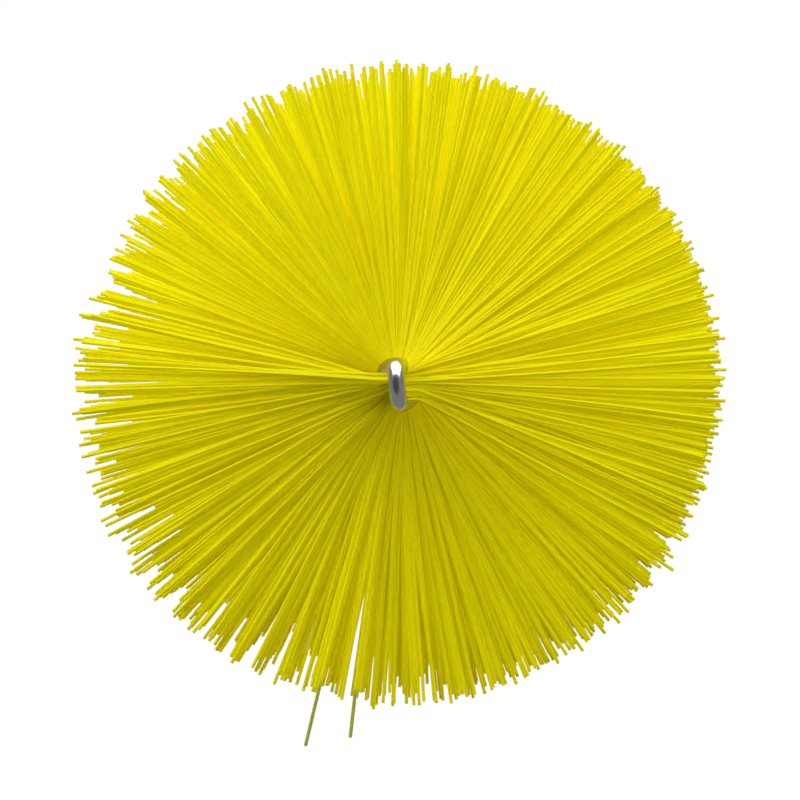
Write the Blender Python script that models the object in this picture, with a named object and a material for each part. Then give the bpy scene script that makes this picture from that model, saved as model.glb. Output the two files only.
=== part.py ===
"""Bottle brush: bristles clamped in a twisted wire core, with a moulded grip on the stem.

Lengths are in metres and +Z is up. The brush lies along Y, with the nose loop at -Y and the
grip at +Y, so a look along +Y sees the round end of the head. The origin is the middle of
the whole brush.
"""

import math
import random

import bmesh
import bpy
import numpy as np
from mathutils import Vector

# Core wire: one wire bent in two at the nose, its two legs twisted together
WIRE_DIAMETER = 0.0016
TWIST_PITCH = 0.0199  # one full turn of the two legs
STEM_LEG_GAP = 0.0005  # between the legs where no bristles part them
NOSE_EYE_WIDTH = 0.0019  # clear width inside the nose loop
NOSE_LENGTH = 0.0065  # from the front of the loop to the first bristles
STEM_LENGTH = 0.110  # bare wire between the bristles and the grip
TAIL_LENGTH = 0.055  # wire inside the grip

# Bristles: a strip clamped between the legs, with strands out of both its edges
HEAD_DIAMETER = 0.060
HEAD_LENGTH = 0.132
STRIP_THICKNESS = 0.0004
STRIP_OVERHANG = 0.0001  # how far the strip stands out past the wire
STRAND_WIDTH = 0.0003
STRAND_GAP = 0.0003
STRAND_TIP = 0.0008  # a strand is a tuft, which splays towards its tip
TIP_UNEVENNESS = 0.0018
ROW_PAIRS = 10  # strands out of each edge of one row's strip

# Grip: a flattened bar with a neck, a shoulder, a waist and a hole to hang it by
GRIP_LENGTH = 0.130
GRIP_THICKNESS = 0.016
GRIP_EDGE_RADIUS = 0.007
NECK_DIAMETER = 0.011
NECK_LENGTH = 0.009
NECK_ROUNDING = 0.001
SHOULDER_LENGTH = 0.020
SHOULDER_WIDTH = 0.026
WAIST_WIDTH = 0.021
HANG_HOLE_DIAMETER = 0.009
HANG_HOLE_WALL = 0.008
HANG_HOLE_CHAMFER = 0.001

# Fits
FIT_GAP = 0.0003  # between pieces that hold each other

# Fineness of the round shapes
TWIST_STEPS = 12  # points of a leg in one turn
NOSE_STEPS = 8  # runs along the half circle of the loop
LEG_STEPS = 3  # runs from the loop to the first bristles
CORNER_STEPS = 4
WAIST_STEPS = 6
END_STEPS = 5
HOLE_SIDES = 24

# Colours: red, green, blue
YELLOW = (0.84, 0.79, 0.01)
STEEL = (0.60, 0.60, 0.61)

# Sizes that follow from the ones above
WIRE_RADIUS = WIRE_DIAMETER / 2
HEAD_RADIUS = HEAD_DIAMETER / 2
HALF_THICKNESS = GRIP_THICKNESS / 2
LOOP_RADIUS = NOSE_EYE_WIDTH / 2 + WIRE_RADIUS
HEAD_LEG_RADIUS = STRIP_THICKNESS / 2 + FIT_GAP + WIRE_RADIUS
STEM_LEG_RADIUS = STEM_LEG_GAP / 2 + WIRE_RADIUS
STRIP_REACH = HEAD_LEG_RADIUS + WIRE_RADIUS + STRIP_OVERHANG
ROWS = max(1, round(HEAD_LENGTH / (ROW_PAIRS * (STRAND_WIDTH + STRAND_GAP))))
ROW_LENGTH = HEAD_LENGTH / ROWS
TAIL_RADIUS = HANG_HOLE_DIAMETER / 2 + HANG_HOLE_WALL

# Places along Y, from the nose to the end of the grip
NOSE_Y = -(NOSE_LENGTH + HEAD_LENGTH + STEM_LENGTH + GRIP_LENGTH) / 2
HEAD_Y = NOSE_Y + NOSE_LENGTH
STEM_Y = HEAD_Y + HEAD_LENGTH
GRIP_Y = STEM_Y + STEM_LENGTH
WIRE_END_Y = GRIP_Y + TAIL_LENGTH
GRIP_END_Y = GRIP_Y + GRIP_LENGTH
HOLE_Y = GRIP_END_Y - TAIL_RADIUS


def clear_scene():
    for old in list(bpy.data.objects):
        bpy.data.objects.remove(old, do_unlink=True)


def material(name, colour, roughness, metallic):
    made = bpy.data.materials.new(name)
    made.use_nodes = True
    shader = made.node_tree.nodes["Principled BSDF"]
    shader.inputs["Base Color"].default_value = (*colour, 1.0)
    shader.inputs["Roughness"].default_value = roughness
    shader.inputs["Metallic"].default_value = metallic
    return made


def add(name, data, finish=None):
    made = bpy.data.objects.new(name, data)
    bpy.context.collection.objects.link(made)
    if finish:
        data.materials.append(finish)
    return made


def ease(start, end, share):
    """A value that leaves start and reaches end without a kink, as share goes from 0 to 1."""
    share = min(max(share, 0.0), 1.0)
    return start + (end - start) * (1 - math.cos(math.pi * share)) / 2


def lofted(rings):
    """A closed mesh through rings of equally many points, with a flat face on each end."""
    shape = bmesh.new()
    loops = [[shape.verts.new(point) for point in ring] for ring in rings]
    for near, far in zip(loops, loops[1:]):
        for i in range(len(near)):
            j = (i + 1) % len(near)
            shape.faces.new((near[i], near[j], far[j], far[i]))
    shape.faces.new(loops[0])
    shape.faces.new(loops[-1])
    bmesh.ops.recalc_face_normals(shape, faces=shape.faces)
    return finished(shape)


def finished(shape):
    mesh = bpy.data.meshes.new("shape")
    shape.to_mesh(mesh)
    shape.free()
    return mesh


# The twist is left-handed: seen from the nose, it turns anticlockwise as it goes away


def bristle_direction(y):
    """Where the bristles at y point, to the right at the first row."""
    turn = 2 * math.pi * (y - HEAD_Y) / TWIST_PITCH
    return Vector((math.cos(turn), 0.0, math.sin(turn)))


def leg_direction(y):
    """Where the first leg lies at y, a quarter turn ahead of the bristles."""
    across = bristle_direction(y)
    return Vector((-across.z, 0.0, across.x))


def leg_radius(y):
    """How far a leg's middle is from the axis: the legs close up behind the bristles."""
    return ease(HEAD_LEG_RADIUS, STEM_LEG_RADIUS, (y - STEM_Y) / (TWIST_PITCH / 2))


def twist_stations():
    """The places along Y of the points of the twisted legs."""
    count = math.ceil((WIRE_END_Y - HEAD_Y) / (TWIST_PITCH / TWIST_STEPS))
    return [HEAD_Y + (WIRE_END_Y - HEAD_Y) * i / count for i in range(count + 1)]


def core_path():
    """The wire's middle line: down one leg from the grip, round the nose, and back."""
    loop_y = NOSE_Y + WIRE_RADIUS + LOOP_RADIUS
    leg = [leg_direction(y) * leg_radius(y) + Vector((0, y, 0)) for y in twist_stations()]
    for i in reversed(range(1, LEG_STEPS)):
        share = i / LEG_STEPS
        height = ease(LOOP_RADIUS, HEAD_LEG_RADIUS, share)
        leg.insert(0, Vector((0, loop_y + (HEAD_Y - loop_y) * share, height)))
    loop = []
    for i in range(NOSE_STEPS + 1):
        angle = math.pi * (0.5 - i / NOSE_STEPS)
        side = LOOP_RADIUS * math.sin(angle)
        loop.append(Vector((0, loop_y - LOOP_RADIUS * math.cos(angle), side)))
    twin = [Vector((-point.x, point.y, -point.z)) for point in leg]
    return list(reversed(leg)) + loop + twin


def print_least_gap(path):
    """Prints the wire's least gap to itself, measured between points of its two halves."""
    points = np.array(path)
    near = 2 * math.pi * LOOP_RADIUS
    steps = np.linalg.norm(np.diff(points, axis=0), axis=1)
    along = np.concatenate([[0.0], np.cumsum(steps)])
    apart = np.linalg.norm(points[:, None] - points[None], axis=2)
    far = np.abs(along[:, None] - along[None]) > near
    print("core_wire least gap to itself, mm:", 1000 * (apart[far].min() - WIRE_DIAMETER))


def core_wire(finish):
    """One unbroken wire with its nose loop and two twisted legs."""
    path = core_path()
    print_least_gap(path)
    curve = bpy.data.curves.new("core_wire", "CURVE")
    curve.dimensions = "3D"
    curve.bevel_depth = WIRE_RADIUS
    curve.bevel_resolution = 1
    curve.use_fill_caps = True
    line = curve.splines.new("POLY")
    line.points.add(len(path) - 1)
    for point, place in zip(line.points, path):
        point.co = (*place, 1.0)
    line.use_smooth = True
    add("core_wire", curve, finish)


def strip_corners(y):
    """The strip's four corners at y, in order round it."""
    across = bristle_direction(y) * STRIP_REACH
    up = leg_direction(y) * (STRIP_THICKNESS / 2)
    middle = Vector((0, y, 0))
    return [middle + across + up, middle - across + up, middle - across - up, middle + across - up]


def tip_corner(root, y, reach):
    """Where a corner of a strand's root ends up at its tip, for the strand at y."""
    across = bristle_direction(y)
    up = leg_direction(y)
    side = math.copysign(reach, root.dot(across))
    rise = math.copysign(STRAND_TIP / 2, root.dot(up))
    shift = math.copysign(STRAND_TIP / 2, root.y - y)
    return across * side + up * rise + Vector((0, y + shift, 0))


def bristle_row(number, finish):
    """One row of bristles: a slice of the strip and the strands drawn out of its edges."""
    chance = random.Random(number)
    shape = bmesh.new()
    strands = []
    last = None
    for i in range(ROW_PAIRS):
        start = HEAD_Y + (number - 1 + i / ROW_PAIRS) * ROW_LENGTH
        for y in (start, start + STRAND_WIDTH):
            ring = [shape.verts.new(corner) for corner in strip_corners(y)]
            if last is None:
                shape.faces.new(ring)
            else:
                sides = [
                    shape.faces.new((last[j], last[(j + 1) % 4], ring[(j + 1) % 4], ring[j]))
                    for j in range(4)
                ]
            last = ring
        reach = HEAD_RADIUS - TIP_UNEVENNESS * chance.random()
        strands += [(sides[1], start, reach), (sides[3], start, reach)]
    shape.faces.new(last)
    bmesh.ops.recalc_face_normals(shape, faces=shape.faces)
    for root, start, reach in strands:
        tip = bmesh.ops.extrude_discrete_faces(shape, faces=[root])["faces"][0]
        for corner in tip.verts:
            corner.co = tip_corner(corner.co, start + STRAND_WIDTH / 2, reach)
    add(f"bristle_row_{number:02d}", finished(shape), finish)


def grip_ring(y, half_width, half_thickness):
    """The grip's outline at y: a rectangle with round corners."""
    corner = min(GRIP_EDGE_RADIUS, 0.95 * half_width, 0.95 * half_thickness)
    ring = []
    for quarter in range(4):
        side = 1 if quarter in (0, 3) else -1
        top = 1 if quarter in (0, 1) else -1
        for i in range(CORNER_STEPS + 1):
            angle = math.pi / 2 * (quarter + i / CORNER_STEPS)
            x = side * (half_width - corner) + corner * math.cos(angle)
            z = top * (half_thickness - corner) + corner * math.sin(angle)
            ring.append((x, y, z))
    return ring


def grip_rings():
    """Outlines from the neck's face, over the shoulder and the waist, round the tail."""
    neck = NECK_DIAMETER / 2
    shoulder = SHOULDER_WIDTH / 2
    shoulder_y = GRIP_Y + NECK_LENGTH + SHOULDER_LENGTH
    waist_y = (shoulder_y + HOLE_Y) / 2
    rings = [grip_ring(GRIP_Y, neck - NECK_ROUNDING, neck - NECK_ROUNDING)]
    rings.append(grip_ring(GRIP_Y + NECK_ROUNDING, neck, neck))
    for i in range(CORNER_STEPS):
        share = i / CORNER_STEPS
        y = GRIP_Y + NECK_LENGTH + SHOULDER_LENGTH * share
        width = ease(neck, shoulder, share)
        rings.append(grip_ring(y, width, ease(neck, HALF_THICKNESS, share)))
    for start, end, first, last in (
        (shoulder_y, waist_y, shoulder, WAIST_WIDTH / 2),
        (waist_y, HOLE_Y, WAIST_WIDTH / 2, TAIL_RADIUS),
    ):
        for i in range(WAIST_STEPS):
            share = i / WAIST_STEPS
            width = ease(first, last, share)
            rings.append(grip_ring(start + (end - start) * share, width, HALF_THICKNESS))
    rounding = min(GRIP_EDGE_RADIUS, 0.9 * HALF_THICKNESS)
    for i in range(END_STEPS + 1):
        angle = math.radians(75) * i / END_STEPS
        y = HOLE_Y + TAIL_RADIUS * math.sin(angle)
        into = max(0.0, y - (GRIP_END_Y - rounding))
        thickness = HALF_THICKNESS - rounding + math.sqrt(rounding**2 - into**2)
        rings.append(grip_ring(y, TAIL_RADIUS * math.cos(angle), thickness))
    end_width = TAIL_RADIUS * math.cos(math.radians(75)) / 2
    rings.append(grip_ring(GRIP_END_Y, end_width, HALF_THICKNESS - rounding))
    return rings


def cutter(name, rings):
    made = add(name, lofted(rings))
    made.hide_render = True
    made.display_type = "WIRE"
    return made


def stem_bore():
    """The hole that the twisted wire leaves in the grip: a twisted slot, a gap wider than it."""
    slope = math.atan(2 * math.pi * STEM_LEG_RADIUS / TWIST_PITCH)
    half_width = WIRE_RADIUS / math.cos(slope) + FIT_GAP
    reach = STEM_LEG_RADIUS + WIRE_RADIUS + FIT_GAP
    stations = [y for y in twist_stations() if y > GRIP_Y - TWIST_PITCH / TWIST_STEPS]
    stations[0] = min(stations[0], GRIP_Y - FIT_GAP)
    stations[-1] = WIRE_END_Y + FIT_GAP
    rings = []
    for y in stations:
        along = leg_direction(y)
        across = bristle_direction(y)
        ring = []
        for end in (1, -1):
            for i in range(CORNER_STEPS + 2):
                angle = math.pi * (i / (CORNER_STEPS + 1) - 0.5)
                out = end * (reach - half_width + half_width * math.cos(angle))
                ring.append(Vector((0, y, 0)) + along * out + across * end * half_width * math.sin(angle))
        rings.append(ring)
    return cutter("stem_bore", rings)


def hang_hole():
    """The hole through the grip's tail, wider at both faces."""
    radius = HANG_HOLE_DIAMETER / 2
    past = 2 * HANG_HOLE_CHAMFER
    rings = []
    for height, size in (
        (-HALF_THICKNESS - HANG_HOLE_CHAMFER, radius + past),
        (-HALF_THICKNESS + HANG_HOLE_CHAMFER, radius),
        (HALF_THICKNESS - HANG_HOLE_CHAMFER, radius),
        (HALF_THICKNESS + HANG_HOLE_CHAMFER, radius + past),
    ):
        turns = [2 * math.pi * i / HOLE_SIDES for i in range(HOLE_SIDES)]
        rings.append([(size * math.cos(t), HOLE_Y + size * math.sin(t), height) for t in turns])
    return cutter("hang_hole", rings)


def grip(finish):
    """The moulded grip, which holds the stem's tail and hangs by its hole."""
    mesh = lofted(grip_rings())
    mesh.shade_smooth()
    mesh.set_sharp_from_angle(angle=math.radians(35))
    made = add("grip", mesh, finish)
    for tool in (stem_bore(), hang_hole()):
        cut = made.modifiers.new(tool.name, "BOOLEAN")
        cut.operation = "DIFFERENCE"
        cut.object = tool


def main():
    clear_scene()
    core_wire(material("stainless_steel", STEEL, 0.25, 1.0))
    for number in range(1, ROWS + 1):
        bristle_row(number, material(f"bristle_{number:02d}", YELLOW, 0.45, 0.0))
    grip(material("grip_plastic", YELLOW, 0.40, 0.0))


main()
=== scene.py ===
import math

import bmesh
import bpy
import numpy as np
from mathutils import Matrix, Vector


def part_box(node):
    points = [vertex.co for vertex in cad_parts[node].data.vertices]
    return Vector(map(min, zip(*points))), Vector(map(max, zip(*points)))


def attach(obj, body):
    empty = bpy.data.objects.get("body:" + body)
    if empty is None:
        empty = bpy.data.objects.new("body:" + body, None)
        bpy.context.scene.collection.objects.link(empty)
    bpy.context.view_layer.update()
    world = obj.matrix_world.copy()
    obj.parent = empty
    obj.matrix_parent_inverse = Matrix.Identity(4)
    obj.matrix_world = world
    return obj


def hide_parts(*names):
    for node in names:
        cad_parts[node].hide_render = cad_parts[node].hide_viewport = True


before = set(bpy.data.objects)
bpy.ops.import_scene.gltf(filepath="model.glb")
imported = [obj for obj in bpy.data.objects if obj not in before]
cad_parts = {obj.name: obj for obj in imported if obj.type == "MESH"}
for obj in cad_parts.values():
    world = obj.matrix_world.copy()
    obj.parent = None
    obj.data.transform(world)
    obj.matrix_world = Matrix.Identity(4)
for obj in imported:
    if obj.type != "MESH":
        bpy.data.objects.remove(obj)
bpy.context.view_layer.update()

# The core is one drawn stainless wire, bent in two over a peg and spun in a twisting machine.
# Its bend is the round loop at the nose; its two legs run twisted through the whole brush and
# end inside the grip. The twist is left-handed.
WIRE_DIAMETER = 0.0016
TWIST_PITCH = 0.0199  # one full turn of the two legs
HEAD_LEG_RADIUS = 0.0013  # from the stem's axis to a leg's middle, where bristles part them
STEM_LEG_RADIUS = 0.00105
LOOP_RADIUS = 0.00175
WIRE_SIDES = 20
TWIST_STEPS = 48
LOOP_STEPS = 24
RISE_STEPS = 10
LOOP_RIGHT = 0.00023  # the loop was bent a little off the axis, and leans
LOOP_LEAN = math.radians(5.4)
CLOSE_START = 0.0015  # the legs close up between these depths behind the first bristles
CLOSE_END = 0.0065
WIRE_SHARP = 60
WIRE_COLOUR = (0.58, 0.575, 0.56)
WIRE_DULLER = 0.86  # the duller patches have this share of the colour
WIRE_TONES = (0.3, 0.7)
WIRE_ROUGHNESS = (0.12, 0.24)
PATCH_SCALE = 900
GRAIN_SCALE = 4000
GRAIN_DEPTH = 0.00005
GRAIN_STRENGTH = 0.08
NOT_ALONG = (0.3, 0.2, 0.9)  # no wire or filament starts along this way

wire_low, wire_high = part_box("core_wire")
head_rows = sorted(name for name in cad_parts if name.startswith("bristle_row"))
row_middles = [(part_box(row)[0].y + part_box(row)[1].y) / 2 for row in head_rows]
row_length = (row_middles[-1] - row_middles[0]) / (len(head_rows) - 1)
head_start = row_middles[0] - row_length / 2
head_end = row_middles[-1] + row_length / 2
nose_y = wire_low.y
wire_end_y = wire_high.y


def across(y):
    """Where the bristles at y point, to the right at the first row."""
    turn = 2 * math.pi * (y - head_start) / TWIST_PITCH
    return np.array([math.cos(turn), 0.0, math.sin(turn)])


def ahead(y):
    """Where the first leg lies at y, a quarter turn ahead of the bristles."""
    turn = 2 * math.pi * (y - head_start) / TWIST_PITCH
    return np.array([-math.sin(turn), 0.0, math.cos(turn)])


def ease(start, end, share):
    """From start to end with a soft beginning and a soft stop."""
    share = min(max(share, 0.0), 1.0)
    return start + (end - start) * (1 - math.cos(math.pi * share)) / 2


def leg_radius(y):
    """The legs close up behind the loop, and again where no bristles part them."""
    if y < head_end:
        closed = (y - head_start - CLOSE_START) / (CLOSE_END - CLOSE_START)
        return ease(LOOP_RADIUS, HEAD_LEG_RADIUS, closed)
    return ease(HEAD_LEG_RADIUS, STEM_LEG_RADIUS, (y - head_end) / (TWIST_PITCH / 2))


def wire_line():
    """The wire's middle line: down one leg, round the nose loop, and back up the other."""
    loop_y = nose_y + WIRE_DIAMETER / 2 + LOOP_RADIUS
    steps = math.ceil((wire_end_y - head_start) / (TWIST_PITCH / TWIST_STEPS))
    places = [head_start + (wire_end_y - head_start) * i / steps for i in range(steps + 1)]
    leg = [ahead(y) * leg_radius(y) + (0, y, 0) for y in places]
    rise = []
    for i in range(1, RISE_STEPS):
        share = i / RISE_STEPS
        y = loop_y + (head_start - loop_y) * share
        lead = (head_start - y) / TWIST_PITCH * 2 * math.pi * share ** 2
        lead -= LOOP_LEAN * (1 - share)
        rise.append(np.array([math.sin(lead) * LOOP_RADIUS, y, math.cos(lead) * LOOP_RADIUS]))
    loop = []
    for i in range(LOOP_STEPS + 1):
        angle = math.pi * (0.5 - i / LOOP_STEPS)
        out = LOOP_RADIUS * math.cos(angle)
        up = LOOP_RADIUS * math.sin(angle)
        loop.append(np.array([-math.sin(LOOP_LEAN) * up, loop_y - out, math.cos(LOOP_LEAN) * up]))
    first = list(reversed(rise + leg))
    second = [point * (-1, 1, -1) for point in rise + leg]
    line = np.array(first + loop + second)
    for point in line:
        point[0] += ease(0, LOOP_RIGHT, (head_start - point[1]) / (head_start - loop_y))
    return line


def tube(line, radius, sides):
    """Points and faces of a round tube along a line, closed at both ends."""
    ways = np.gradient(line, axis=0)
    ways /= np.linalg.norm(ways, axis=1)[:, None]
    side = np.cross(ways[0], NOT_ALONG)
    points = []
    for place, way in zip(line, ways):
        side = side - way * np.dot(side, way)
        side /= np.linalg.norm(side)
        up = np.cross(way, side)
        for i in range(sides):
            turn = 2 * math.pi * i / sides
            points.append(place + radius * (side * math.cos(turn) + up * math.sin(turn)))
    faces = []
    for ring in range(len(line) - 1):
        for i in range(sides):
            j = (i + 1) % sides
            a, b = ring * sides, (ring + 1) * sides
            faces.append((a + i, a + j, b + j, b + i))
    last = (len(line) - 1) * sides
    faces += [tuple(reversed(range(sides))), tuple(range(last, last + sides))]
    return points, faces


def smooth_piece(name, points, faces, sharp=40):
    """An object of these points and faces, smooth but for edges sharper than sharp degrees."""
    mesh = bpy.data.meshes.new(name)
    mesh.from_pydata([tuple(p) for p in points], [], faces)
    mesh.shade_smooth()
    mesh.set_sharp_from_angle(angle=math.radians(sharp))
    piece = bpy.data.objects.new(name, mesh)
    bpy.context.collection.objects.link(piece)
    return piece


def node(holder, kind, **settings):
    """A new node in the tree of a material or of the world."""
    made = holder.node_tree.nodes.new(kind)
    for name, value in settings.items():
        setattr(made, name, value)
    return made


def new_finish(name):
    """A material with its nodes, its shader, and a function that joins two sockets."""
    made = bpy.data.materials.new(name)
    made.use_nodes = True
    return made, made.node_tree.nodes["Principled BSDF"], made.node_tree.links.new


def noise(material, place, scale, detail=2):
    """A cloudy pattern over a place, between 0 and 1."""
    made = node(material, "ShaderNodeTexNoise")
    made.inputs["Scale"].default_value = scale
    made.inputs["Detail"].default_value = detail
    material.node_tree.links.new(place, made.inputs["Vector"])
    return made.outputs["Fac"]


def two_tones(material, pattern, dark, light, tones):
    """The dark colour where the pattern is under the first tone, the light one over the second."""
    made = node(material, "ShaderNodeValToRGB")
    low, high = made.color_ramp.elements
    low.position, high.position = tones
    low.color = (*dark, 1)
    high.color = (*light, 1)
    material.node_tree.links.new(pattern, made.inputs["Fac"])
    return made.outputs["Color"]


def between(material, pattern, low, high):
    """Stretches a pattern from 0 to 1 over the values from low to high."""
    made = node(material, "ShaderNodeMapRange")
    made.inputs["To Min"].default_value = low
    made.inputs["To Max"].default_value = high
    material.node_tree.links.new(pattern, made.inputs["Value"])
    return made.outputs["Result"]


def relief(material, pattern, depth, strength):
    """The fine relief of a surface, raised where the pattern is high."""
    made = node(material, "ShaderNodeBump")
    made.inputs["Strength"].default_value = strength
    made.inputs["Distance"].default_value = depth
    material.node_tree.links.new(pattern, made.inputs["Height"])
    return made.outputs["Normal"]


def steel_finish():
    """Bright drawn wire: a fine grain and a few duller patches."""
    made, shader, join = new_finish("bright_steel")
    place = node(made, "ShaderNodeTexCoord").outputs["Object"]
    patches = noise(made, place, PATCH_SCALE, detail=3)
    dull = [WIRE_DULLER * part for part in WIRE_COLOUR]
    join(two_tones(made, patches, dull, WIRE_COLOUR, WIRE_TONES), shader.inputs["Base Color"])
    join(between(made, patches, *WIRE_ROUGHNESS), shader.inputs["Roughness"])
    grain = noise(made, place, GRAIN_SCALE)
    join(relief(made, grain, GRAIN_DEPTH, GRAIN_STRENGTH), shader.inputs["Normal"])
    shader.inputs["Metallic"].default_value = 1.0
    return made


wire = smooth_piece("twisted_core_wire", *tube(wire_line(), WIRE_DIAMETER / 2, WIRE_SIDES), WIRE_SHARP)
wire.data.materials.append(steel_finish())
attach(wire, "root")
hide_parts("core_wire")

# The bristles are straight extruded nylon filaments. A handful of them is fed between the two
# legs before the spin, so that the twist bites each at its middle and fans its two ends out,
# and the finished head is then trimmed round.
FILAMENT_DIAMETER = 0.000345
FILAMENTS_PER_MM = 26
FILAMENT_SIDES = 6
TRIM_RADIUS = 0.02984
TRIM_CENTRE = np.array([-0.0002, 0.0, -0.00019])  # the knife turned a little off the axis
TRIM_UNEVENNESS = 0.00037
BITE_SCATTER = (0.2, 0.8)  # a filament's place in its share of the row
BITE_HALF_THICKNESS = 0.00034
BITE_REACH = 0.0019  # from the axis to where the twist lets a filament go
SPLAY = math.radians(0.25)  # of single filaments, round the stem
LEAN = math.radians(0.8)  # of single filaments, along the stem
SWEEP = math.radians(6)  # of all filaments, towards the grip
BUNDLE_SPLAY = math.radians(0.55)
BUNDLE_SIZES = (2, 7)
BUNDLE_PULL = (0.3, 0.9)  # how much of the way to its bundle's middle a tip goes
BOW = 0.0003
BOW_BACK = 0.6
FRONT_RUN = 0.0020  # the filaments bitten over this length of the head are out of line
FRONT_LIFT = math.radians(6)
FRONT_LIFT_LEFT = math.radians(25)
FRONT_DROOP_RIGHT = math.radians(34)
FRONT_RISE = 0.0007
FRONT_DROP = 0.0021
FEW_ASTRAY = 1.6  # above 1, fewer of them go all the way
PARTING_ANGLE = math.radians(260.8)  # round the stem, from the right
PARTING_RUN = (-0.0504, 1.0, -0.0220)  # the way that the parting goes into the head
PARTING_START = 0.0201
PARTING_HALF_WIDTH = 0.00044
PARTING_BEND_START = 0.5
PARTING_BEND_RUN = 0.3
PLAIN_RUNS = np.array([0.0, 0.05, 0.12, 0.4, 0.7, 1.0])  # a filament's points, as shares
FRONT_RUNS = np.array([0.0, 0.03, 0.06, 0.09, 0.13, 0.2, 0.4, 0.7, 1.0])
LIGHT_THROUGH = (0.90, 0.875, 0.02)
YELLOW = (0.915, 0.872, 0.004)
YELLOW_DEEP = (0.875, 0.830, 0.003)
# Painted shade: tips further out than the start below turn this darker olive yellow, the shade that
# the head casts on the strays.
YELLOW_TIP_SHADE = (0.50, 0.52, 0.08)
NYLON_TONES = (0.3, 0.6)
TIP_SHADE_FROM = 0.0312  # distance from the axis
TIP_SHADE_RUN = 0.001
CORE_PAINTED_SHADE = (0.958, 0.925, 1.0)  # painted shade: deepens the yellow towards the wire, where the packed filaments shade each other
CORE_PAINTED_SHADE_START = 0.022
CORE_PAINTED_SHADE_FULL = 0.003
STREAKS_ROUND = 40.0
STREAKS_ALONG = 900.0
STREAKS_OUT = 60.0
NYLON_ROUGHNESS = (0.38, 0.55)
NYLON_SPECULAR = 0.15
NYLON_GLOSS = (1.0, 0.93, 0.02)


def pulled_together(chance, bitten):
    """How far the tips of neighbouring filaments lean towards the middle of their bundle."""
    count = len(bitten)
    sizes = chance.integers(*BUNDLE_SIZES, count, endpoint=True)
    bundle = np.repeat(np.arange(count), sizes)[:count]
    members = np.bincount(bundle)
    middle = np.bincount(bundle, bitten) / members
    pull = chance.uniform(*BUNDLE_PULL, count)[bundle]
    shift = chance.normal(0, BUNDLE_SPLAY, count)[bundle]
    return pull * (middle[bundle] - bitten) * 2 * math.pi / TWIST_PITCH + shift


def filament_ends(chance, start, length):
    """For each filament of a row: where it is bitten, and how its two ends leave and bend."""
    count = round(1000 * length * FILAMENTS_PER_MM)
    bitten = start + length * (np.arange(count) + chance.uniform(*BITE_SCATTER, count)) / count
    ends = []
    for side, furthest, drop in ((1, -FRONT_DROOP_RIGHT, FRONT_DROP), (-1, FRONT_LIFT_LEFT, 0)):
        astray = chance.uniform(0, 1, count) ** FEW_ASTRAY
        ends.append({
            "side": side,
            "splay": side * pulled_together(chance, bitten) + chance.normal(0, SPLAY, count),
            "lean": chance.normal(SWEEP, LEAN, count),
            "bow": chance.normal(0, BOW, count),
            "reach": TRIM_RADIUS + chance.normal(0, TRIM_UNEVENNESS, count),
            "lift": chance.uniform(0, FRONT_LIFT, count) + furthest * astray,
            "rise": FRONT_RISE - drop * astray,
        })
    offset = chance.uniform(-1, 1, count) * BITE_HALF_THICKNESS
    return bitten, offset, ends


parting_out = np.array([math.cos(PARTING_ANGLE), 0, math.sin(PARTING_ANGLE)])
parting_side = np.cross(parting_out, PARTING_RUN)
parting_side /= np.linalg.norm(parting_side)


def parted(half, share):
    """Bends a filament that would close the parting back to the side where it starts."""
    out = (half - (0, head_start, 0)) @ parting_out
    beside = (half - (0, head_start, 0)) @ parting_side
    way = 1 if beside[-2] > 0 else -1
    lack = PARTING_HALF_WIDTH - way * beside[-1]
    if out[-1] < PARTING_START or lack < 0:
        return half
    opened = np.clip((share - PARTING_BEND_START) / PARTING_BEND_RUN, 0, 1)
    return half + parting_side * (way * lack * opened)[:, None]


def half_filament(end, i, y, offset, runs):
    """The middle line of one end of a filament, from the stem's axis out to its tip."""
    out, up = across(y), ahead(y)
    front = min(max(2 - 2 * (y - head_start) / FRONT_RUN, 0.0), 1.0)
    run = (end["reach"][i] + end["side"] * np.dot(out, TRIM_CENTRE)) * runs
    free = np.maximum(run - BITE_REACH, 0)
    share = free / free[-1]
    drift = free * math.tan(front * end["lift"][i]) + offset + front * end["rise"][i]
    drift += free * share * math.tan(end["splay"][i]) + end["bow"][i] * share * (share - BOW_BACK)
    along = free * math.tan(end["lean"][i]) + end["bow"][i] * share ** 2
    trimmed = 1 + (run[-1] / math.hypot(run[-1], drift[-1]) - 1) * share
    half = out[None] * (run * trimmed * end["side"])[:, None]
    half += up[None] * (drift * trimmed)[:, None]
    half += np.array([0, 1, 0])[None] * (y + along)[:, None]
    return parted(half, runs)


def filament_tube(line, first):
    """A round tube along a filament, with its points numbered from first."""
    ways = np.gradient(line, axis=0)
    ways /= np.linalg.norm(ways, axis=1)[:, None]
    side = np.array([0, 1, 0])[None] - ways * ways[:, 1:2]
    side /= np.linalg.norm(side, axis=1)[:, None]
    rise = np.cross(ways, side)
    turns = 2 * math.pi * np.arange(FILAMENT_SIDES) / FILAMENT_SIDES
    ring = (
        side[:, None] * np.cos(turns)[None, :, None]
        + rise[:, None] * np.sin(turns)[None, :, None]
    )
    points = (line[:, None] + ring * FILAMENT_DIAMETER / 2).reshape(-1, 3)
    faces = []
    for k in range(len(line) - 1):
        a, b = first + k * FILAMENT_SIDES, first + (k + 1) * FILAMENT_SIDES
        for j in range(FILAMENT_SIDES):
            n = (j + 1) % FILAMENT_SIDES
            faces.append((a + j, a + n, b + n, b + j))
    last = first + (len(line) - 1) * FILAMENT_SIDES
    faces.append(tuple(reversed(range(first, first + FILAMENT_SIDES))))
    faces.append(tuple(range(last, last + FILAMENT_SIDES)))
    return points, faces


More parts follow.
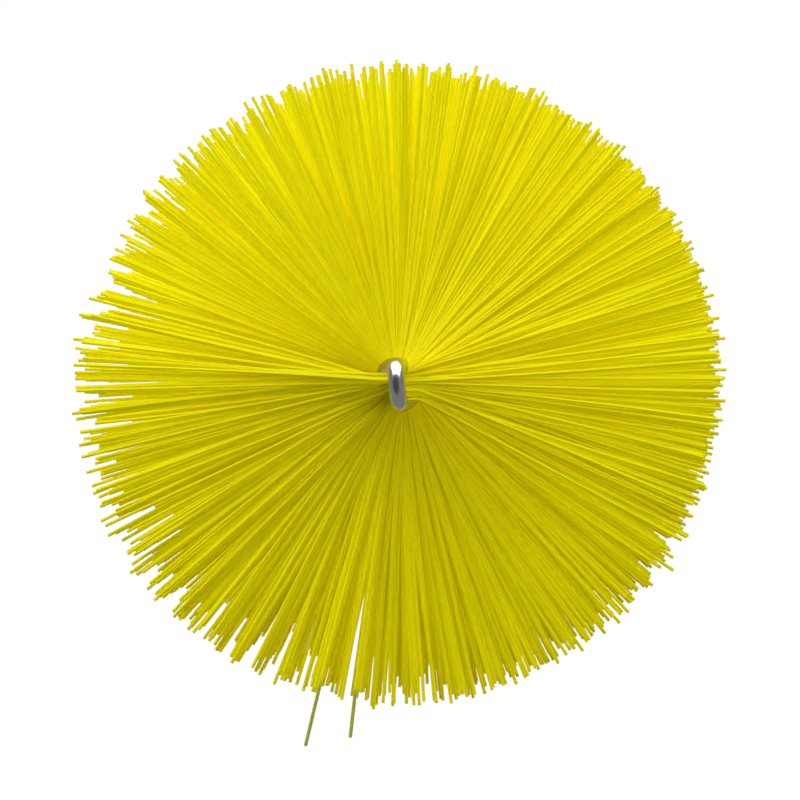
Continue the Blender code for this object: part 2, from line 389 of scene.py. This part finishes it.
def row_mesh(number):
    """All filaments of one row as tubes, each in one piece from tip to tip."""
    chance = np.random.default_rng(number)
    start = head_start + (number - 1) * row_length
    bitten, offset, ends = filament_ends(chance, start, row_length)
    runs = FRONT_RUNS if number == 1 else PLAIN_RUNS
    points = []
    faces = []
    for i, y in enumerate(bitten):
        right, left = [half_filament(end, i, y, offset[i], runs) for end in ends]
        line = np.vstack([left[:0:-1], right])
        tube_points, tube_faces = filament_tube(line, i * FILAMENT_SIDES * len(line))
        points.append(tube_points)
        faces += tube_faces
    return np.vstack(points), faces


def nylon_finish(name, shade_from):
    """Dyed nylon: streaks along each filament, with painted shade far out and towards the wire, and a
    soft gloss.
    """
    made, shader, join = new_finish(name)
    place = node(made, "ShaderNodeTexCoord")
    parts = node(made, "ShaderNodeSeparateXYZ")
    join(place.outputs["Object"], parts.inputs["Vector"])
    angle = node(made, "ShaderNodeMath", operation="ARCTAN2")
    join(parts.outputs["Z"], angle.inputs[0])
    join(parts.outputs["X"], angle.inputs[1])
    flat = node(made, "ShaderNodeCombineXYZ")
    join(parts.outputs["X"], flat.inputs["X"])
    join(parts.outputs["Z"], flat.inputs["Z"])
    radius = node(made, "ShaderNodeVectorMath", operation="LENGTH")
    join(flat.outputs["Vector"], radius.inputs[0])
    streak_place = node(made, "ShaderNodeCombineXYZ")
    for source, scale, socket in (
        (angle.outputs["Value"], STREAKS_ROUND, "X"),
        (parts.outputs["Y"], STREAKS_ALONG, "Y"),
        (radius.outputs["Value"], STREAKS_OUT, "Z"),
    ):
        scaled = node(made, "ShaderNodeMath", operation="MULTIPLY")
        scaled.inputs[1].default_value = scale
        join(source, scaled.inputs[0])
        join(scaled.outputs["Value"], streak_place.inputs[socket])
    streaks = noise(made, streak_place.outputs["Vector"], 1.0)
    # Painted shade: far out, the colour goes over to the darker olive yellow of shaded tips.
    tip = node(made, "ShaderNodeMapRange")
    tip.inputs["From Min"].default_value = shade_from
    tip.inputs["From Max"].default_value = shade_from + TIP_SHADE_RUN
    join(radius.outputs["Value"], tip.inputs["Value"])
    duller = node(made, "ShaderNodeMix", data_type="RGBA")
    join(tip.outputs["Result"], duller.inputs["Factor"])
    join(two_tones(made, streaks, YELLOW_DEEP, YELLOW, NYLON_TONES), duller.inputs[6])
    duller.inputs[7].default_value = (*YELLOW_TIP_SHADE, 1)
    # Painted shade: the yellow darkens towards the wire, where the filaments shade each other.
    depth = node(made, "ShaderNodeMapRange")
    depth.inputs["From Min"].default_value = CORE_PAINTED_SHADE_START
    depth.inputs["From Max"].default_value = CORE_PAINTED_SHADE_FULL
    join(radius.outputs["Value"], depth.inputs["Value"])
    deeper = node(made, "ShaderNodeMix", data_type="RGBA", blend_type="MULTIPLY")
    join(depth.outputs["Result"], deeper.inputs["Factor"])
    join(duller.outputs[2], deeper.inputs[6])
    deeper.inputs[7].default_value = (*CORE_PAINTED_SHADE, 1)
    join(deeper.outputs[2], shader.inputs["Base Color"])
    join(between(made, streaks, *NYLON_ROUGHNESS), shader.inputs["Roughness"])
    shader.inputs["Diffuse Roughness"].default_value = 1.0
    shader.inputs["Specular IOR Level"].default_value = NYLON_SPECULAR
    shader.inputs["Specular Tint"].default_value = (*NYLON_GLOSS, 1)
    # Nylon lets light through, so the shadow of a filament is only a tinted one.
    path = node(made, "ShaderNodeLightPath")
    clear = node(made, "ShaderNodeBsdfTransparent")
    clear.inputs["Color"].default_value = (*LIGHT_THROUGH, 1)
    blend = node(made, "ShaderNodeMixShader")
    join(path.outputs["Is Shadow Ray"], blend.inputs[0])
    join(shader.outputs["BSDF"], blend.inputs[1])
    join(clear.outputs["BSDF"], blend.inputs[2])
    join(blend.outputs["Shader"], made.node_tree.nodes["Material Output"].inputs["Surface"])
    return made


nylon = nylon_finish("yellow_nylon", TIP_SHADE_FROM)
for number, row in enumerate(head_rows, 1):
    piece = smooth_piece(f"filaments_{number:02d}", *row_mesh(number))
    piece.data.materials.append(nylon)
    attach(piece, "root")
    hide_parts(row)

# Two nylon filaments of the first row are longer than the rest, because the trimming knife
# missed them. The twist bites them like the others, and they stick out at the bottom.
STRAYS = ((0.00414, 0.0352, -2.4), (0.0045, 0.0336, -2.8))  # depth, reach and bend of each
STRAY_STEPS = 10
STRAY_SIDES = 12
STRAY_BEND_START = 0.6
STRAY_SWEEP = 0.5 * math.tan(SWEEP)
# The strays' far ends get the painted shade of the head above them.
STRAY_TIP_SHADE_FROM = 0.0286

stray_nylon = nylon_finish("stray_nylon", STRAY_TIP_SHADE_FROM)
for number, (depth, reach, bend) in enumerate(STRAYS, 1):
    y = head_start + depth
    share = np.arange(STRAY_STEPS + 1) / STRAY_STEPS
    drift = reach * math.radians(bend) * np.maximum(share - STRAY_BEND_START, 0) ** 2
    line = across(y)[None] * (-reach * share)[:, None] + ahead(y)[None] * drift[:, None]
    line += np.array([0, 1, 0])[None] * (y + reach * share * STRAY_SWEEP)[:, None]
    stray = smooth_piece(f"stray_filament_{number}", *tube(line, FILAMENT_DIAMETER / 2, STRAY_SIDES))
    stray.data.materials.append(stray_nylon)
    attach(stray, "root")

# The grip is moulded in yellow polypropylene round the stem's last 55 mm, so the plastic fills
# the twist and the wire can neither turn nor pull out. It has a round neck, a broad shoulder,
# a waist for the fingers, and a round tail with a hole to hang it by.
NECK_RADIUS = 0.0055
NECK_LENGTH = 0.009
NECK_ROUNDING = 0.0012
SHOULDER_LENGTH = 0.020
SHOULDER_HALF_WIDTH = 0.013
WAIST_HALF_WIDTH = 0.0105
TAIL_RADIUS = 0.0125
EDGE_RADIUS = 0.007
ROUNDEST = 0.96  # the widest corner, as a share of half a side
HOLE_RADIUS = 0.0045
HOLE_ROUNDING = 0.0012
HOLE_FLARE = ((3.0, 2.0), (1.5, 0.1))  # the cutter past the faces, in hole roundings
BORE_CLEARANCE = 0.00005
SEAM_HEIGHT = 0.00012
SEAM_HALF_WIDTH = 0.0002
WIDEST_SEAM = 0.9  # as a share of the flat between two corners
CORNER_STEPS = 14
ARC_STEPS = 6
LENGTH_STEPS = 24
TAIL_STEPS = 40
HOLE_SIDES = 64
PLASTIC = (0.80, 0.74, 0.006)
PLASTIC_DEEP = (0.74, 0.67, 0.005)
PLASTIC_TONES = (0.25, 0.65)
PLASTIC_ROUGHNESS = (0.30, 0.42)
PLASTIC_SPECULAR = 0.4
CLOUD_SCALE = 60
PEEL_SCALE = 1400
PEEL_DEPTH = 0.0001
PEEL_STRENGTH = 0.12
GRIP_SHARP = 30

grip_low, grip_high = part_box("grip")
half_thickness = grip_high.z
grip_y = grip_low.y
grip_end_y = grip_high.y
hole_y = grip_end_y - TAIL_RADIUS


def grip_outline(y, half_width, half_height):
    """A rectangle with round corners, and the mould's fine seam at its two sides."""
    corner = min(EDGE_RADIUS, ROUNDEST * half_width, ROUNDEST * half_height)
    seam = min(SEAM_HALF_WIDTH, WIDEST_SEAM * (half_height - corner))
    outline = []
    for quarter in range(4):
        side = 1 if quarter in (0, 3) else -1
        top = 1 if quarter in (0, 1) else -1
        if quarter in (0, 2):
            outline.append((side * half_width, y, -top * seam))
            outline.append((side * (half_width + SEAM_HEIGHT), y, 0.0))
            outline.append((side * half_width, y, top * seam))
        for i in range(CORNER_STEPS + 1):
            angle = math.pi / 2 * (quarter + i / CORNER_STEPS)
            x = side * (half_width - corner) + corner * math.cos(angle)
            z = top * (half_height - corner) + corner * math.sin(angle)
            outline.append((x, y, z))
    return outline


def grip_outlines():
    """Outlines from the neck's face, over the shoulder and the waist, round the tail."""
    outlines = []
    for i in range(ARC_STEPS):
        angle = math.pi / 2 * i / ARC_STEPS
        radius = NECK_RADIUS - NECK_ROUNDING * (1 - math.sin(angle))
        y = grip_y + NECK_ROUNDING * (1 - math.cos(angle))
        outlines.append(grip_outline(y, radius, radius))
    shoulder_y = grip_y + NECK_LENGTH + SHOULDER_LENGTH
    waist_y = (shoulder_y + hole_y) / 2
    stretches = (
        (grip_y + NECK_ROUNDING, grip_y + NECK_LENGTH, NECK_RADIUS, NECK_RADIUS, NECK_RADIUS),
        (grip_y + NECK_LENGTH, shoulder_y, NECK_RADIUS, SHOULDER_HALF_WIDTH, NECK_RADIUS),
        (shoulder_y, waist_y, SHOULDER_HALF_WIDTH, WAIST_HALF_WIDTH, half_thickness),
        (waist_y, hole_y, WAIST_HALF_WIDTH, TAIL_RADIUS, half_thickness),
    )
    for start, end, first, last, height in stretches:
        reached = NECK_RADIUS if end <= grip_y + NECK_LENGTH else half_thickness
        for i in range(LENGTH_STEPS):
            share = i / LENGTH_STEPS
            y = start + (end - start) * share
            outlines.append(grip_outline(y, ease(first, last, share), ease(height, reached, share)))
    for i in range(TAIL_STEPS):
        angle = math.pi / 2 * i / TAIL_STEPS
        y = hole_y + TAIL_RADIUS * math.sin(angle)
        into = max(0.0, y - (grip_end_y - EDGE_RADIUS))
        height = half_thickness - EDGE_RADIUS + math.sqrt(EDGE_RADIUS ** 2 - into ** 2)
        outlines.append(grip_outline(y, TAIL_RADIUS * math.cos(angle), height))
    return outlines


def loft(outlines):
    """Points and faces of a closed skin over outlines of equally many points."""
    count = len(outlines[0])
    points = [point for outline in outlines for point in outline]
    faces = []
    for ring in range(len(outlines) - 1):
        for i in range(count):
            j = (i + 1) % count
            a, b = ring * count, (ring + 1) * count
            faces.append((a + i, a + j, b + j, b + i))
    last = (len(outlines) - 1) * count
    faces += [tuple(reversed(range(count))), tuple(range(last, last + count))]
    return points, faces


def stem_bore():
    """The hole that the twisted wire leaves in the plastic."""
    slope = math.atan(2 * math.pi * STEM_LEG_RADIUS / TWIST_PITCH)
    half_width = WIRE_DIAMETER / 2 / math.cos(slope) + BORE_CLEARANCE
    reach = STEM_LEG_RADIUS + WIRE_DIAMETER / 2 + BORE_CLEARANCE
    start, end = grip_y - WIRE_DIAMETER, wire_end_y + BORE_CLEARANCE
    steps = math.ceil((end - start) / (TWIST_PITCH / TWIST_STEPS))
    outlines = []
    for k in range(steps + 1):
        y = start + (end - start) * k / steps
        outline = []
        for way in (1, -1):
            for i in range(ARC_STEPS * 2 + 1):
                angle = math.pi * (i / (ARC_STEPS * 2) - 0.5)
                out = way * (reach - half_width + half_width * math.cos(angle))
                turned = way * half_width * math.sin(angle)
                outline.append(tuple(ahead(y) * out + across(y) * turned + (0, y, 0)))
        outlines.append(outline)
    return loft(outlines)


def hang_hole():
    """The hole through the tail, with a round edge at both faces and a flare beyond them."""
    profile = []
    for out, height in HOLE_FLARE:
        profile.append((HOLE_RADIUS + out * HOLE_ROUNDING, half_thickness + height * HOLE_ROUNDING))
    for i in range(ARC_STEPS + 1):
        angle = math.pi / 2 * i / ARC_STEPS
        out = HOLE_RADIUS + HOLE_ROUNDING * (1 - math.sin(angle))
        profile.append((out, half_thickness - HOLE_ROUNDING * (1 - math.cos(angle))))
    profile += [(out, -height) for out, height in reversed(profile)]
    outlines = []
    for out, height in profile:
        turns = [-2 * math.pi * i / HOLE_SIDES for i in range(HOLE_SIDES)]
        outlines.append([(out * math.cos(t), hole_y + out * math.sin(t), height) for t in turns])
    return loft(outlines)


def outward(mesh):
    """Turns all faces of a closed mesh outwards."""
    shape = bmesh.new()
    shape.from_mesh(mesh)
    bmesh.ops.recalc_face_normals(shape, faces=shape.faces)
    shape.to_mesh(mesh)
    shape.free()


def cut_away(piece, cutter):
    """Takes the cutter's space out of the piece."""
    outward(cutter.data)
    cut = piece.modifiers.new("cut", "BOOLEAN")
    cut.operation = "DIFFERENCE"
    cut.object = cutter
    bpy.context.view_layer.update()
    result = bpy.data.meshes.new_from_object(
        piece.evaluated_get(bpy.context.evaluated_depsgraph_get())
    )
    piece.modifiers.remove(cut)
    piece.data = result
    bpy.data.objects.remove(cutter)


def moulded_finish():
    """Moulded polypropylene: satin, faintly cloudy, with the mould's fine orange peel."""
    made, shader, join = new_finish("yellow_polypropylene")
    place = node(made, "ShaderNodeTexCoord").outputs["Object"]
    clouds = noise(made, place, CLOUD_SCALE, detail=4)
    join(two_tones(made, clouds, PLASTIC_DEEP, PLASTIC, PLASTIC_TONES), shader.inputs["Base Color"])
    join(between(made, clouds, *PLASTIC_ROUGHNESS), shader.inputs["Roughness"])
    peel = noise(made, place, PEEL_SCALE)
    join(relief(made, peel, PEEL_DEPTH, PEEL_STRENGTH), shader.inputs["Normal"])
    shader.inputs["Specular IOR Level"].default_value = PLASTIC_SPECULAR
    return made


grip = smooth_piece("moulded_grip", *loft(grip_outlines()))
outward(grip.data)
grip.data.materials.append(moulded_finish())
cut_away(grip, smooth_piece("stem_bore", *stem_bore()))
cut_away(grip, smooth_piece("hang_hole", *hang_hole()))
grip.data.shade_smooth()
grip.data.set_sharp_from_angle(angle=math.radians(GRIP_SHARP))
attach(grip, "root")
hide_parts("grip")

# The brush is held in the air of a bright room, over a floor of matt pale paper. Further out
# the floor fades into white light, as the paper of a photo table does.
FLOOR_Z = -0.14
FLOOR_SIZE = 12.0
FLOOR_COLOUR = (0.90, 0.90, 0.90, 1)
FLOOR_ROUGHNESS = 0.9
FADE_START = 0.06  # distance from under the middle of the head
FADE_END = 0.42
ROOM_ABOVE = 0.25  # the room's light from straight above, and from straight below
ROOM_BELOW = 0.02


def seen_directly(holder):
    """1 for what the camera sees, also in mirrors, and 0 for light that bounces."""
    path = node(holder, "ShaderNodeLightPath")
    last = path.outputs["Is Camera Ray"]
    for name in ("Is Glossy Ray", "Is Transmission Ray"):
        either = node(holder, "ShaderNodeMath", operation="MAXIMUM")
        holder.node_tree.links.new(last, either.inputs[0])
        holder.node_tree.links.new(path.outputs[name], either.inputs[1])
        last = either.outputs["Value"]
    return last


world = bpy.data.worlds.new("bright_room")
bpy.context.scene.world = world
world.use_nodes = True
room = world.node_tree.nodes["Background"]
join = world.node_tree.links.new
way = node(world, "ShaderNodeTexCoord")
parts = node(world, "ShaderNodeSeparateXYZ")
join(way.outputs["Generated"], parts.inputs["Vector"])
rising = node(world, "ShaderNodeMapRange")
rising.inputs["From Min"].default_value = -1.0
rising.inputs["To Min"].default_value = ROOM_BELOW
rising.inputs["To Max"].default_value = ROOM_ABOVE
join(parts.outputs["Z"], rising.inputs["Value"])
level = node(world, "ShaderNodeMapRange")
join(rising.outputs["Result"], level.inputs["To Min"])
join(seen_directly(world), level.inputs["Value"])
join(level.outputs["Result"], room.inputs["Strength"])
room.inputs["Color"].default_value = (1, 1, 1, 1)


def floor_finish():
    """Matt paper round the brush, white light further out."""
    made, shader, join = new_finish("pale_paper")
    shader.inputs["Base Color"].default_value = FLOOR_COLOUR
    shader.inputs["Roughness"].default_value = FLOOR_ROUGHNESS
    shader.inputs["Specular IOR Level"].default_value = 0.0
    place = node(made, "ShaderNodeTexCoord")
    parts = node(made, "ShaderNodeSeparateXYZ")
    join(place.outputs["Object"], parts.inputs["Vector"])
    past = node(made, "ShaderNodeMath", operation="SUBTRACT")
    join(parts.outputs["Y"], past.inputs[0])
    past.inputs[1].default_value = (head_start + head_end) / 2
    flat = node(made, "ShaderNodeCombineXYZ")
    join(parts.outputs["X"], flat.inputs["X"])
    join(past.outputs["Value"], flat.inputs["Y"])
    away = node(made, "ShaderNodeVectorMath", operation="LENGTH")
    join(flat.outputs["Vector"], away.inputs[0])
    fade = node(made, "ShaderNodeMapRange", interpolation_type="SMOOTHSTEP")
    fade.inputs["From Min"].default_value = FADE_START
    fade.inputs["From Max"].default_value = FADE_END
    join(away.outputs["Value"], fade.inputs["Value"])
    share = node(made, "ShaderNodeMath", operation="MULTIPLY")
    join(fade.outputs["Result"], share.inputs[0])
    join(seen_directly(made), share.inputs[1])
    white = node(made, "ShaderNodeEmission")
    blend = node(made, "ShaderNodeMixShader")
    join(share.outputs["Value"], blend.inputs[0])
    join(shader.outputs["BSDF"], blend.inputs[1])
    join(white.outputs["Emission"], blend.inputs[2])
    join(blend.outputs["Shader"], made.node_tree.nodes["Material Output"].inputs["Surface"])
    return made


edge = FLOOR_SIZE / 2
corners = ((-edge, -edge), (edge, -edge), (edge, edge), (-edge, edge))
floor = smooth_piece("floor", [(x, y, FLOOR_Z) for x, y in corners], [(0, 1, 2, 3)])
floor.data.materials.append(floor_finish())
floor.visible_diffuse = False

# A shell hangs round the nose, glowing dark in front and grey at the sides and below, with a
# window left open above, so that the polished wire has a dark middle and a white top: a painted
# reflection of a dark room and a grey floor, though the shell is no lamp. Only mirrored light sees it.
SHELL_RADIUS = 0.12
SHELL_BEHIND = 0.6  # how far it reaches behind the nose, as a share of its radius
WINDOW_START = math.radians(49)  # up from the view along the stem
WINDOW_END = math.radians(126)
WINDOW_HALF_WIDTH = math.radians(46)
# Painted reflection: how bright the shell glows in front, and at the sides and below.
SHELL_DARK_GLOW = 0.09
SHELL_GREY_GLOW = 0.30
SHELL_MIDDLE = (-0.2, -0.97, 0.05)  # the way from the nose to its darkest place
SHELL_GREY_TO = 0.60
SHELL_DARK_FROM = 0.92
SHELL_STEPS = 96


def reflection_shell_mesh():
    """A globe round the nose, open behind and with a window in its upper part."""
    points = []
    faces = []
    for i in range(SHELL_STEPS + 1):
        rise = math.pi * (2 * i / SHELL_STEPS - 1)
        for j in range(SHELL_STEPS + 1):
            aside = math.pi * (j / SHELL_STEPS - 0.5)
            out = SHELL_RADIUS * math.cos(aside)
            up = out * math.sin(rise)
            points.append((SHELL_RADIUS * math.sin(aside), -out * math.cos(rise), up))
    for i in range(SHELL_STEPS):
        rise = math.pi * (2 * (i + 0.5) / SHELL_STEPS - 1)
        for j in range(SHELL_STEPS):
            aside = math.pi * ((j + 0.5) / SHELL_STEPS - 0.5)
            behind = -math.cos(aside) * math.cos(rise)
            window = WINDOW_START < rise < WINDOW_END and abs(aside) < WINDOW_HALF_WIDTH
            if behind < SHELL_BEHIND and not window:
                a = i * (SHELL_STEPS + 1) + j
                faces.append((a, a + 1, a + SHELL_STEPS + 2, a + SHELL_STEPS + 1))
    return points, faces


reflection_shell = smooth_piece("painted_reflection_shell", *reflection_shell_mesh())
reflection_shell.location = (0, nose_y, 0)
made, _, join = new_finish("painted_reflection_shell")
place = node(made, "ShaderNodeTexCoord")
toward = node(made, "ShaderNodeVectorMath", operation="DOT_PRODUCT")
toward.inputs[1].default_value = [part / SHELL_RADIUS for part in SHELL_MIDDLE]
join(place.outputs["Object"], toward.inputs[0])
grey = node(made, "ShaderNodeMapRange", interpolation_type="SMOOTHSTEP")
grey.inputs["From Min"].default_value = SHELL_GREY_TO
grey.inputs["From Max"].default_value = SHELL_DARK_FROM
grey.inputs["To Min"].default_value = SHELL_GREY_GLOW
grey.inputs["To Max"].default_value = SHELL_DARK_GLOW
join(toward.outputs["Value"], grey.inputs["Value"])
# Painted reflection: the shell glows from grey below to dark in front.
glow = node(made, "ShaderNodeEmission")
join(grey.outputs["Result"], glow.inputs["Strength"])
join(glow.outputs["Emission"], made.node_tree.nodes["Material Output"].inputs["Surface"])
reflection_shell.data.materials.append(made)
reflection_shell.visible_camera = False
reflection_shell.visible_diffuse = False
reflection_shell.visible_shadow = False
reflection_shell.visible_transmission = False

# The light is one wide softbox overhead and two smaller, weaker ones in front, at the left and
# at the right, which the polished wire doesn't mirror.
TOP_POWER = 6.0
TOP_WIDTH = 1.0
TOP_DEPTH = 0.8
TOP_HEIGHT = 0.55
TOP_IN_FRONT = 0.02
SIDE_LIGHTS = ((158, 0.30, 1.9), (352, 0.12, 1.8))  # degrees round the stem, run in front, power
SIDE_DISTANCE = 0.45
SIDE_SIZE = 0.4
DIFFUSE_BOUNCES = 8
MAX_BOUNCES = 16


def softbox(name, place, aim, width, depth, power):
    """A rectangular lamp at a place, turned towards its aim."""
    lamp = bpy.data.lights.new(name, "AREA")
    lamp.shape = "RECTANGLE"
    lamp.size = width
    lamp.size_y = depth
    lamp.energy = power
    made = bpy.data.objects.new(name, lamp)
    made.location = place
    made.rotation_euler = (Vector(aim) - Vector(place)).to_track_quat("-Z", "Y").to_euler()
    bpy.context.collection.objects.link(made)
    return made


nose = (0, head_start, 0)
above = (0, head_start - TOP_IN_FRONT, TOP_HEIGHT)
softbox("top_softbox", above, nose, TOP_WIDTH, TOP_DEPTH, TOP_POWER)
for turn, in_front, power in SIDE_LIGHTS:
    right = SIDE_DISTANCE * math.cos(math.radians(turn))
    up = SIDE_DISTANCE * math.sin(math.radians(turn))
    place = (right, head_start - in_front, up)
    side = softbox(f"side_softbox_{turn}", place, nose, SIDE_SIZE, SIDE_SIZE, power)
    side.visible_glossy = False
bpy.context.scene.cycles.diffuse_bounces = DIFFUSE_BOUNCES
bpy.context.scene.cycles.max_bounces = MAX_BOUNCES

# The camera looks at the nose from in front, a little from the right and from above. It is
# near enough for the deeper layers of tips to show inside the rim of the head.
VIEW_DISTANCE = 0.440
VIEW_RIGHT = 0.0222
VIEW_UP = 0.0097
FRAME_WIDTH = 0.07385  # what the picture shows across, at the first bristles
AIM_RIGHT = 0.00023
AIM_DOWN = 0.00143
SENSOR = 36
CLIP_START = 0.01

camera_data = bpy.data.cameras.new("camera")
camera = bpy.data.objects.new("camera", camera_data)
bpy.context.collection.objects.link(camera)
camera.location = (VIEW_RIGHT, head_start - VIEW_DISTANCE, VIEW_UP)
aim = Vector((AIM_RIGHT, head_start, -AIM_DOWN))
look = aim - camera.location
camera.rotation_euler = look.to_track_quat("-Z", "Y").to_euler()
camera_data.sensor_width = SENSOR
camera_data.lens = SENSOR * look.length / FRAME_WIDTH
camera_data.clip_start = CLIP_START
bpy.context.scene.camera = camera
bpy.context.scene.view_settings.view_transform = "Standard"
